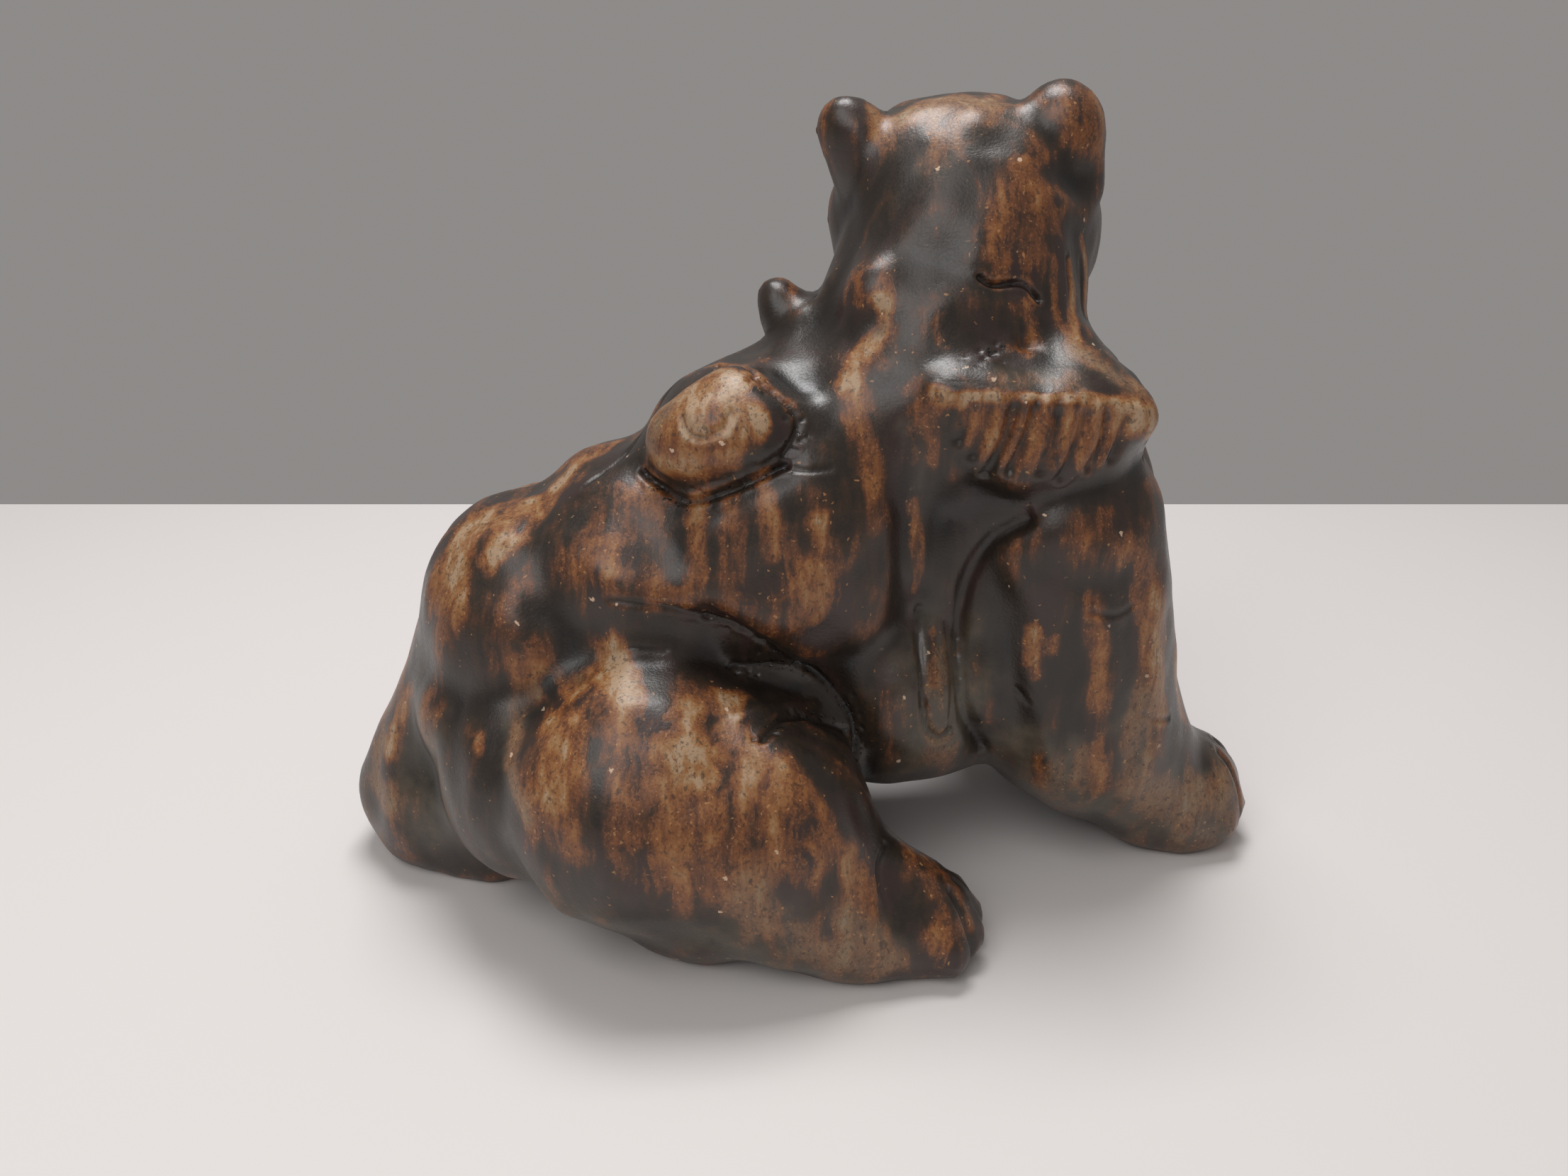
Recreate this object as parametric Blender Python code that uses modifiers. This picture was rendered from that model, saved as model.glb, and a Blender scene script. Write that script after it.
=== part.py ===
"""A glazed stoneware bear that sits with its forelegs planted and its head turned over its left shoulder.

The figurine is one cast body. It is built the way a modeller builds it up in clay: lumps and limbs are laid
over each other, fused into one skin and softened, smaller lumps and slabs are pressed on, then the folds, locks
of fur and toes are cut in, and the soles are ground flat. Sizes are in metres. +X is the way the chest points,
+Y is the bear's left, +Z is up.
"""

import math

import bmesh
import bpy
import numpy as np
from mathutils import Euler, Matrix, Vector
from mathutils.bvhtree import BVHTree

MM = 0.001

# Overall sizes, and the squares of the modeller's grid that span them: a square is a millimetre at this size
LENGTH, WIDTH, HEIGHT = 151 * MM, 96 * MM, 121 * MM
SQUARES = 151, 96, 121


def at(*squares):
    """A place, or half sizes, counted in grid squares along X, Y and Z."""
    return tuple(count * size / span for count, size, span in zip(squares, (LENGTH, WIDTH, HEIGHT), SQUARES))


# Clay and glaze: how fine each skin is fused, how many rounds of softening it takes, and the colour
BODY_GRAIN, SKIN_GRAIN = 1.2 * MM, 0.9 * MM
BODY_ROUNDS, SKIN_ROUNDS, SKIN_TRIANGLES = 12, 5, 11700
GLAZE_BROWN, GLAZE_ROUGHNESS = (0.16, 0.10, 0.065, 1), 0.4

# Trunk: centre and half sizes of each lump
RUMP_AT, RUMP_SIZE = at(-47, 12, 10), at(24.5, 18.5, 18)
TAIL_AT, TAIL_SIZE = at(-42, 9, 30), at(17.5, 22, 15)
TAIL_ROOT, TAIL_TIP, TAIL_R = at(-46, 11.5, 38), at(-59.5, 11.5, 9.5), 12.4 * MM
SEAT_AT, SEAT_SIZE = at(-38, -4, 23), at(15, 17.5, 18)
HIPS_AT, HIPS_SIZE = at(-37, 11, 43), at(20.5, 23.5, 19.5)
LOIN_AT, LOIN_SIZE = at(-21, 12, 47), at(22, 25, 23)
BELLY_AT, BELLY_SIZE = at(16, 12, 32.5), at(26, 21, 19)
RIBS_AT, RIBS_SIZE = at(0, 12, 57), at(26, 25, 27)
CHEST_AT, CHEST_SIZE = at(34, 20, 51), at(25, 24, 30)
WITHERS_AT, WITHERS_SIZE = at(20, 17, 74), at(25, 23, 17)
BREAST_AT, BREAST_SIZE = at(46, 24, 52), at(16, 18, 22)

# Head and neck
NECK_BASE, NECK_BASE_R = at(24, 20, 80), 20.5 * MM
NECK_TOP, NECK_TOP_R = at(28, 26, 97), 19 * MM
NAPE_LEFT, NAPE_RIGHT, NAPE_R = at(14.5, 11, 90.5), at(25, 8.5, 90), 7.3 * MM
SKULL_AT, SKULL_SIZE = at(26.5, 29, 104), at(17.5, 17, 15)
MUZZLE_ROOT, MUZZLE_ROOT_R = at(31, 38, 100), 12.5 * MM
MUZZLE_TIP, MUZZLE_TIP_R = at(37, 50.5, 96.5), 9.6 * MM
RIGHT_CHEEK_AT, LEFT_CHEEK_AT, CHEEK_SIZE = at(42, 32, 98), at(15.5, 33, 99), at(8.5, 11, 12)

# Near hind leg
HIP_JOINT, HIP_R = at(-20, -13, 24), 21 * MM
KNEE_JOINT, KNEE_R = at(-5, -16, 21), 18 * MM
SHIN_JOINT, SHIN_R = at(4, -18.5, 11), 13 * MM
HEEL_JOINT, HEEL_R = at(13, -19.5, 7), 11 * MM
TOE_JOINT, TOE_R = at(20, -19.5, 6), 9.2 * MM
CALF_AT, CALF_SIZE = at(-9, -16, 13), at(22, 13.5, 15)

# Near foreleg
SHOULDER_JOINT, SHOULDER_R = at(41, 9, 57), 17 * MM
ELBOW_JOINT, ELBOW_R = at(47, 10, 26), 17 * MM
WRIST_JOINT, WRIST_R = at(59, 12, 12.5), 12 * MM
PAW_JOINT, PAW_R = at(67, 13.5, 7), 11.8 * MM

# The far legs stand across the bear's middle line, which runs over the ground from the rump to the chest
MIDDLE_BACK, MIDDLE_FRONT = at(-50, 11, 0), at(50, 23, 0)
FAR_HIP, FAR_KNEE, FAR_SHIN = at(-23, 36, 23), at(-8, 41, 21), at(1, 45, 12)
FAR_HEEL, FAR_TOE = at(10, 47, 7.5), at(17, 49, 6)
FAR_SHOULDER, FAR_ELBOW = at(38, 31, 57), at(43, 34, 27)
FAR_WRIST, FAR_PAW = at(53, 38, 12), at(60, 40, 7)

# Smaller lumps, as round stations that a limb runs through or a slab is pressed round
LEFT_EAR = (at(9.6, 26, 113.6), 4.9 * MM), (at(13, 26.5, 104.5), 4.4 * MM)
RIGHT_EAR = (at(40.8, 24, 113.2), 7 * MM), (at(40.5, 24, 107), 7 * MM)
NUB = (at(3, 21, 85), 4.5 * MM), (at(-1, 21, 89.5), 3.6 * MM)
BOSS = (at(-12, -1.5, 73.5), 7.5 * MM), (at(-6.5, 0.5, 76.5), 7.5 * MM), (at(-3, -1.5, 74.5), 7.5 * MM)
LEDGE_R, FRINGE_R = 3 * MM, 5 * MM
LEDGE_RIM = at(13, 4, 83.5), at(22, -2.5, 80.8), at(33, -4, 79.2), at(42, -3, 78.8), at(49.6, -1.8, 77)
LEDGE_ROOT = at(41.5, 8, 85.5), at(24, 9, 85)
FRINGE = at(26, -1.5, 73.5), at(33, -2.5, 71), at(43, -1, 72.5), at(47, 6, 70)
THROAT = (at(46.5, 22.6, 76), 6.5 * MM), (at(39, 21.7, 85), 4.5 * MM), (at(46.5, 22.5, 62), 6 * MM)
NOSE_AT, NOSE_SIZE = at(38.8, 56.4, 100.3), at(4.8, 3.8, 3.6)
BROW_R, BROW_SPREAD, BROW_RISE = 4 * MM, 8 * MM, at(1, 2, 7)

# Toes: how many, the fan they make, their half sizes, how far they stand out and up as shares of the paw's
# radius, and the way each paw points in degrees left of +X
TOES, TOE_FAN, TOE_SIZE = 4, 120, at(4.4, 3.1, 3.8)
TOE_REACH, TOE_RISE = 0.72, 0.5
NEAR_HIND_HEADING, FAR_HIND_HEADING, NEAR_FORE_HEADING, FAR_FORE_HEADING = 0, 12, 6, 14

# Cuts: the path of each on the skin
THIGH_CREASE = at(-11, -10, 51), at(-4, -10, 48), at(1, -7, 43), at(6, -5, 38), at(10, -7, 33), at(11, -9, 27)
KNEE_FOLD_HIGH = at(-8, -9, 42), at(-5, -8, 42), at(0, -8, 42), at(5, -5, 39)
KNEE_FOLD_LOW = at(0, -16, 37), at(5, -11, 35), at(9, -8, 31)
BOSS_CREASE = at(-20, 1, 68), at(-17, -3, 67), at(-13, -6, 66), at(-6, -8, 69), at(0, -8, 72)
BOSS_SIDE = at(-2, -3, 81), at(2, -5, 78), at(2, -7, 76), at(0, -8, 73)
BOSS_MARK = at(-14, -8, 77), at(-12, -8, 76), at(-10, -8, 76), at(-8, -8, 77), at(-7, -7, 79)
LEG_CREASE = (
    *(at(34, -5, 63), at(30, -2, 59), at(27, -2, 54), at(26, -1, 46)),
    *(at(26, -4, 40), at(27, -5, 32), at(31, -1, 24)),
)
BELLY_MARK = at(20, -2, 48), at(20, -6, 40), at(21, -8, 32), at(23, -7, 29), at(25, -7, 30), at(25, -5, 39)
NAPE_SLIT = at(27, 5, 95), at(29, 5, 94), at(33, 6, 94), at(36, 6, 92)
RIB_BACK = at(11, -2, 81), at(10, -8, 67), at(12, -10, 53)
RIB_FRONT = at(18, -6, 75), at(18, -7, 60), at(19, -6, 49)
FLANK_ROLL = at(-41, -3, 59), at(-31, -6, 59), at(-22, -11, 56), at(-11, -11, 53), at(-2, -12, 51)
FOOT_RIM = at(15, -21, 20), at(13, -25, 18), at(15, -29, 12)
MOUTH = at(30, 57, 92), at(37.5, 61, 93.5), at(44.5, 55, 92)
LOCKS, FIRST_LOCK, LAST_LOCK, LOCK_TRAIL = 8, at(25, -6, 80), at(47, -5, 78), at(-2.5, 0.5, -8)

# Tools: the half width and the depth of the mark each leaves, below zero where clay is raised
ROLL = 4 * MM, -0.9 * MM
THUMB = 3 * MM, 0.8 * MM
LOOP = 1.8 * MM, 1.6 * MM
KNIFE = 1.4 * MM, 1 * MM
NEEDLE = 1.1 * MM, 0.6 * MM


def over_middle(place):
    """The place on the bear's other side, across its middle line."""
    run = (place[0] - MIDDLE_BACK[0]) / (MIDDLE_FRONT[0] - MIDDLE_BACK[0])
    middle = MIDDLE_BACK[1] + run * (MIDDLE_FRONT[1] - MIDDLE_BACK[1])
    return place[0], 2 * middle - place[1], place[2]


def both_sides(path):
    """A path and its twin across the middle line."""
    return tuple(path), tuple(over_middle(place) for place in path)


def clear_scene():
    for obj in list(bpy.data.objects):
        bpy.data.objects.remove(obj, do_unlink=True)


class Clay:
    """A heap of overlapping closed lumps, to be fused into one skin."""

    def __init__(self):
        self.heap = bmesh.new()

    def add(self, piece):
        mesh = bpy.data.meshes.new("lump")
        piece.to_mesh(mesh)
        piece.free()
        self.heap.from_mesh(mesh)
        bpy.data.meshes.remove(mesh)

    def lump(self, place, size, turn=(0, 0, 0)):
        """Press on an ellipsoid with half sizes `size`, turned by `turn` degrees."""
        stand = Matrix.Translation(place) @ Euler([math.radians(angle) for angle in turn]).to_matrix().to_4x4()
        piece = bmesh.new()
        bmesh.ops.create_icosphere(piece, subdivisions=4, radius=1, matrix=stand @ Matrix.Diagonal((*size, 1)))
        self.add(piece)

    def slab(self, *stations):
        """Press on the smallest rounded slab that holds all the (place, radius) stations."""
        piece = bmesh.new()
        for place, radius in stations:
            bmesh.ops.create_icosphere(piece, subdivisions=4, radius=radius, matrix=Matrix.Translation(place))
        shell = bmesh.ops.convex_hull(piece, input=piece.verts)
        bmesh.ops.delete(piece, geom=shell["geom_interior"], context="VERTS")
        self.add(piece)

    def limb(self, *stations):
        """Roll a tapering limb through (place, radius) stations."""
        for start, end in zip(stations, stations[1:]):
            self.slab(start, end)

    def fused(self, grain, rounds):
        """The heap as one skin, remeshed at `grain` and smoothed `rounds` times."""
        mesh = bpy.data.meshes.new("heap")
        self.heap.to_mesh(mesh)
        self.heap.free()
        obj = bpy.data.objects.new("heap", mesh)
        bpy.context.scene.collection.objects.link(obj)
        fuse = obj.modifiers.new("fuse", "REMESH")
        fuse.mode = "VOXEL"
        fuse.voxel_size = grain
        soften = obj.modifiers.new("soften", "SMOOTH")
        soften.factor = 0.8
        soften.iterations = rounds
        skin = bpy.data.meshes.new_from_object(obj.evaluated_get(bpy.context.evaluated_depsgraph_get()))
        bpy.data.objects.remove(obj, do_unlink=True)
        bpy.data.meshes.remove(mesh)
        return skin


def body_skin():
    """The trunk, legs, neck and head in the round."""
    clay = Clay()
    clay.lump(RUMP_AT, RUMP_SIZE)
    clay.lump(TAIL_AT, TAIL_SIZE)
    clay.limb((TAIL_ROOT, TAIL_R), (TAIL_TIP, TAIL_R))
    clay.lump(HIPS_AT, HIPS_SIZE)
    clay.lump(LOIN_AT, LOIN_SIZE)
    clay.lump(BELLY_AT, BELLY_SIZE)
    clay.lump(RIBS_AT, RIBS_SIZE)
    clay.lump(CHEST_AT, CHEST_SIZE)
    clay.lump(WITHERS_AT, WITHERS_SIZE)
    clay.lump(BREAST_AT, BREAST_SIZE)
    clay.limb((NECK_BASE, NECK_BASE_R), (NECK_TOP, NECK_TOP_R))
    clay.slab((NAPE_LEFT, NAPE_R))
    clay.slab((NAPE_RIGHT, NAPE_R))
    clay.lump(SKULL_AT, SKULL_SIZE)
    clay.lump(RIGHT_CHEEK_AT, CHEEK_SIZE)
    clay.lump(LEFT_CHEEK_AT, CHEEK_SIZE)
    clay.limb((MUZZLE_ROOT, MUZZLE_ROOT_R), (MUZZLE_TIP, MUZZLE_TIP_R))
    hind_radii = HIP_R, KNEE_R, SHIN_R, HEEL_R, TOE_R
    clay.limb(*zip((HIP_JOINT, KNEE_JOINT, SHIN_JOINT, HEEL_JOINT, TOE_JOINT), hind_radii))
    clay.limb(*zip((FAR_HIP, FAR_KNEE, FAR_SHIN, FAR_HEEL, FAR_TOE), hind_radii))
    for seat, calf in zip(both_sides([SEAT_AT]), both_sides([CALF_AT])):
        clay.lump(*seat, SEAT_SIZE)
        clay.lump(*calf, CALF_SIZE)
    fore_radii = SHOULDER_R, ELBOW_R, WRIST_R, PAW_R
    clay.limb(*zip((SHOULDER_JOINT, ELBOW_JOINT, WRIST_JOINT, PAW_JOINT), fore_radii))
    clay.limb(*zip((FAR_SHOULDER, FAR_ELBOW, FAR_WRIST, FAR_PAW), fore_radii))
    return clay.fused(BODY_GRAIN, BODY_ROUNDS)


def press_face(clay):
    """The brows and the nose, set on the muzzle."""
    ahead = Vector(MUZZLE_TIP) - Vector(MUZZLE_ROOT)
    aside = Vector((ahead.y, -ahead.x, 0)).normalized() * BROW_SPREAD
    for side in (-aside, aside):
        clay.slab((Vector(MUZZLE_ROOT) + side + Vector(BROW_RISE), BROW_R))
    clay.lump(NOSE_AT, NOSE_SIZE)


def press_ruff(clay):
    """The shelf over each shoulder, with the slab of fur that hangs from it, and the ruff between them."""
    for rim, root, fur in zip(both_sides(LEDGE_RIM), both_sides(LEDGE_ROOT), both_sides(FRINGE)):
        clay.slab(*((place, LEDGE_R) for place in rim + root))
        clay.slab(*((place, LEDGE_R) for place in rim[1:4]), *((place, FRINGE_R) for place in fur))
        clay.slab((rim[-1], LEDGE_R), (root[0], LEDGE_R), *THROAT)


def press_toes(clay, paw, radius, heading):
    """A fan of toes round the front of a paw that points `heading` degrees left of +X."""
    for i in range(TOES):
        angle = math.radians(heading + TOE_FAN * (i / (TOES - 1) - 0.5))
        reach = radius * TOE_REACH
        place = (paw[0] + reach * math.cos(angle), paw[1] + reach * math.sin(angle), TOE_RISE * radius)
        clay.lump(place, TOE_SIZE, (0, 0, math.degrees(angle)))


def figure_skin(body):
    """The body with its smaller lumps pressed on."""
    clay = Clay()
    clay.heap.from_mesh(body)
    press_face(clay)
    press_ruff(clay)
    clay.limb(*LEFT_EAR)
    clay.limb(*RIGHT_EAR)
    clay.limb(*NUB)
    clay.slab(*BOSS)
    press_toes(clay, TOE_JOINT, TOE_R, NEAR_HIND_HEADING)
    press_toes(clay, FAR_TOE, TOE_R, FAR_HIND_HEADING)
    press_toes(clay, PAW_JOINT, PAW_R, NEAR_FORE_HEADING)
    press_toes(clay, FAR_PAW, PAW_R, FAR_FORE_HEADING)
    return clay.fused(SKIN_GRAIN, SKIN_ROUNDS)


class Skin:
    """A fused skin and the modelling tools that work on it."""

    def __init__(self, mesh):
        self.mesh = mesh
        self.points = np.empty(len(mesh.vertices) * 3)
        mesh.vertices.foreach_get("co", self.points)
        self.points.shape = -1, 3
        self.normals = np.empty(len(mesh.vertices) * 3)
        mesh.vertex_normals.foreach_get("vector", self.normals)
        self.normals.shape = -1, 3
        self.tree = BVHTree.FromPolygons(self.points, [tuple(face.vertices) for face in mesh.polygons])

    def route(self, path):
        """A smooth run through the path's points, laid on the skin."""
        points = [Vector(place) for place in path]
        ends = [points[0] * 2 - points[1], *points, points[-1] * 2 - points[-2]]
        run = []
        for before, start, end, after in zip(ends, ends[1:], ends[2:], ends[3:]):
            for t in (0, 0.25, 0.5, 0.75):
                spot = start * 2 + (end - before) * t + (before * 2 - start * 5 + end * 4 - after) * t * t
                run.append((spot + (start * 3 - before - end * 3 + after) * t ** 3) / 2)
        run.append(points[-1])
        laid = [self.tree.find_nearest(spot)[0] for spot in run]
        eased = [(before + spot * 2 + after) / 4 for before, spot, after in zip(laid, laid[1:], laid[2:])]
        return [laid[0], *(self.tree.find_nearest(spot)[0] for spot in eased), laid[-1]]

    def distance(self, route):
        """How far each point of the skin is from the route."""
        nearest = np.full(len(self.points), np.inf)
        for start, end in zip(route, route[1:]):
            start, along = np.array(start), np.array(end - start)
            t = np.clip((self.points - start) @ along / max(along @ along, 1e-12), 0, 1)
            nearest = np.minimum(nearest, np.linalg.norm(self.points - start - t[:, None] * along, axis=1))
        return nearest

    def cut(self, path, tool):
        """Draw a tool along the path."""
        width, depth = tool
        push = depth * np.exp(-((self.distance(self.route(path)) / width) ** 2))
        self.points -= self.normals * push[:, None]

    def finish(self):
        self.mesh.vertices.foreach_set("co", self.points.ravel())
        self.mesh.update()


def cut_details(skin):
    """Folds, creases and locks of fur."""
    for path in both_sides(FLANK_ROLL):
        skin.cut(path, ROLL)
    for path in (*both_sides(RIB_BACK), *both_sides(RIB_FRONT)):
        skin.cut(path, THUMB)
    for path in (*both_sides(THIGH_CREASE), *both_sides(LEG_CREASE), BOSS_CREASE):
        skin.cut(path, LOOP)
    for path in (KNEE_FOLD_HIGH, KNEE_FOLD_LOW, BOSS_SIDE, NAPE_SLIT, MOUTH):
        skin.cut(path, KNIFE)
    for path in (BOSS_MARK, BELLY_MARK, FOOT_RIM):
        skin.cut(path, NEEDLE)
    for i in range(LOCKS):
        top = Vector(FIRST_LOCK).lerp(Vector(LAST_LOCK), i / (LOCKS - 1))
        for path in both_sides((top, top + Vector(LOCK_TRAIL) / 2, top + Vector(LOCK_TRAIL))):
            skin.cut(path, NEEDLE)


def glaze():
    """The brown glaze in one even colour."""
    material = bpy.data.materials.new("glaze")
    material.use_nodes = True
    shader = material.node_tree.nodes["Principled BSDF"]
    shader.inputs["Base Color"].default_value = GLAZE_BROWN
    shader.inputs["Roughness"].default_value = GLAZE_ROUGHNESS
    shader.inputs["Metallic"].default_value = 0
    return material


def collection(name):
    """A new collection in the scene."""
    group = bpy.data.collections.new(name)
    bpy.context.scene.collection.children.link(group)
    return group


def ground_block(group):
    """The grinding table under the soles."""
    bpy.ops.mesh.primitive_cube_add(size=1, location=(0, 0, -HEIGHT / 2))
    block = bpy.context.object
    block.name = "ground"
    block.scale = (3 * LENGTH, 3 * WIDTH, HEIGHT)
    block.display_type = "WIRE"
    block.hide_render = True
    bpy.context.collection.objects.unlink(block)
    group.objects.link(block)
    return block


def stand_on_origin(obj):
    """Put the middle of the figure's footprint on the origin."""
    figure = obj.evaluated_get(bpy.context.evaluated_depsgraph_get())
    corners = [Vector(corner) for corner in figure.bound_box]
    middle = (corners[0] + corners[6]) / 2
    obj.location = -middle.x, -middle.y, 0


def main():
    clear_scene()
    skin = Skin(figure_skin(body_skin()))
    cut_details(skin)
    skin.finish()
    skin.mesh.materials.append(glaze())
    obj = bpy.data.objects.new("bear", skin.mesh)
    collection("bear_figurine").objects.link(obj)
    thin = obj.modifiers.new("thin", "DECIMATE")
    thin.ratio = SKIN_TRIANGLES / (2 * len(skin.mesh.polygons))
    soles = obj.modifiers.new("soles", "BOOLEAN")
    soles.object = ground_block(collection("cutters"))
    stand_on_origin(obj)


main()
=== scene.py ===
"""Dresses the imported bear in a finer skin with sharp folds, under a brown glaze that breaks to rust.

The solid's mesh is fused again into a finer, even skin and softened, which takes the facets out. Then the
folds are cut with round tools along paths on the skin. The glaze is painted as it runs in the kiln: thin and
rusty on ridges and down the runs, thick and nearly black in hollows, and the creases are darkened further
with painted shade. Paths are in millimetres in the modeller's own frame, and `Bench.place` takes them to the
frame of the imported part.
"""

import logging
import math
import random
from collections.abc import Iterator, Sequence
from dataclasses import dataclass, field
from enum import Enum

import bpy
import numpy as np
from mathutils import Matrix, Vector, noise
from mathutils.bvhtree import BVHTree

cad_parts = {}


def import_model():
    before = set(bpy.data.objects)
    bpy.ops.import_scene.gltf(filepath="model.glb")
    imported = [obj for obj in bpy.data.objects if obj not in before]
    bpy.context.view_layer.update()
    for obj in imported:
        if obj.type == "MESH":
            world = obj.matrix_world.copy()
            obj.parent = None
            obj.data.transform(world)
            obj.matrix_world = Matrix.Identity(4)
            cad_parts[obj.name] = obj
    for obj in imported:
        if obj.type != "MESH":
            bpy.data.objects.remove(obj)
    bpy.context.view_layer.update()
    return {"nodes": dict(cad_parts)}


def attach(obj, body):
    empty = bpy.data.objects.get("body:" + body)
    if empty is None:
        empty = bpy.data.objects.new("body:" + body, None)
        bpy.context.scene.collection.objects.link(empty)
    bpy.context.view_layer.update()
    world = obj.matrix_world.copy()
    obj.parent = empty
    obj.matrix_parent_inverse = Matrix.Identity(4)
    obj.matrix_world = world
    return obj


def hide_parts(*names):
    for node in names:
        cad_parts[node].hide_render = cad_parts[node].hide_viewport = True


LOG = logging.getLogger("bear")
MM = 0.001

Spot = tuple[float, float, float]
Path = tuple[Spot, ...]
Tint = tuple[float, float, float, float]


@dataclass(frozen=True)
class Bench:
    """The modeller's own frame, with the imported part's origin and the bear's slanting middle line in it."""

    origin: Spot = (3.92, 13.63, 0.0)
    middle: float = 17.0
    slant: float = 0.12

    def place(self, spot: Spot) -> Vector:
        """Take a point in the modeller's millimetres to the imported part's metres."""
        return (Vector(spot) - Vector(self.origin)) * MM

    def across(self, path: Path) -> Path:
        """Carry a path over the bear's middle line to its other side."""
        return tuple((x, 2 * (self.middle + self.slant * x) - y, z) for x, y, z in path)


BENCH = Bench()


class Tool(Enum):
    """Modelling tools: the half width, the depth and the burr of the mark each leaves, in millimetres."""

    SLIT = (0.45, 0.95, 0.1)
    KNIFE = (0.55, 0.6, 0.07)
    NEEDLE = (0.5, 0.36, 0.04)
    LOCK = (0.75, 0.7, 0.12)
    LOOP = (1.0, 0.7, 0.06)
    THUMB = (2.4, 0.6, 0.0)
    ROLL = (2.6, -0.5, 0.0)
    PAD = (3.4, -1.3, 0.0)
    LIP = (1.0, -0.35, 0.0)
    DISH = (1.9, 1.3, 0.0)
    POINT = (1.1, 1.1, 0.25)
    PRICK = (0.6, 0.8, 0.1)

    @property
    def width(self) -> float:
        """Half width of the mark in metres."""
        return self.value[0] * MM

    @property
    def depth(self) -> float:
        """Depth of the mark in metres, negative where clay is raised."""
        return self.value[1] * MM

    @property
    def burr(self) -> float:
        """Height of the clay pushed up beside the mark in metres."""
        return self.value[2] * MM


@dataclass(frozen=True)
class Mark:
    """One stroke of a modelling tool, with pin-holes beside it where the glaze boiled in the cut."""

    tool: Tool
    path: Path
    both_sides: bool = True
    force: float = 1.0
    pitted: bool = False


class Tone(Enum):
    """What a run leaves: how thin the glaze is, and how much of the grey-olive veil lies on it."""

    TAN = (0.93, 0.0)
    OCHRE = (0.75, 0.0)
    RUST = (0.6, 0.0)
    UMBER = (0.47, 0.0)
    OLIVE = (0.62, 0.75)
    DRAB = (0.66, 0.42)
    STONE = (0.36, 0.8)
    POOL = (0.1, 0.0)

    @property
    def thin(self) -> float:
        """Thinness of the glaze, 0 where it pools and 1 where it is bare."""
        return self.value[0]

    @property
    def veil(self) -> float:
        """Share of the veil."""
        return self.value[1]


@dataclass(frozen=True)
class Run:
    """A run of glaze, with its half width in millimetres. Later runs lie over earlier ones."""

    tone: Tone
    width: float
    path: Path
    both_sides: bool = True
    force: float = 1.0


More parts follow.
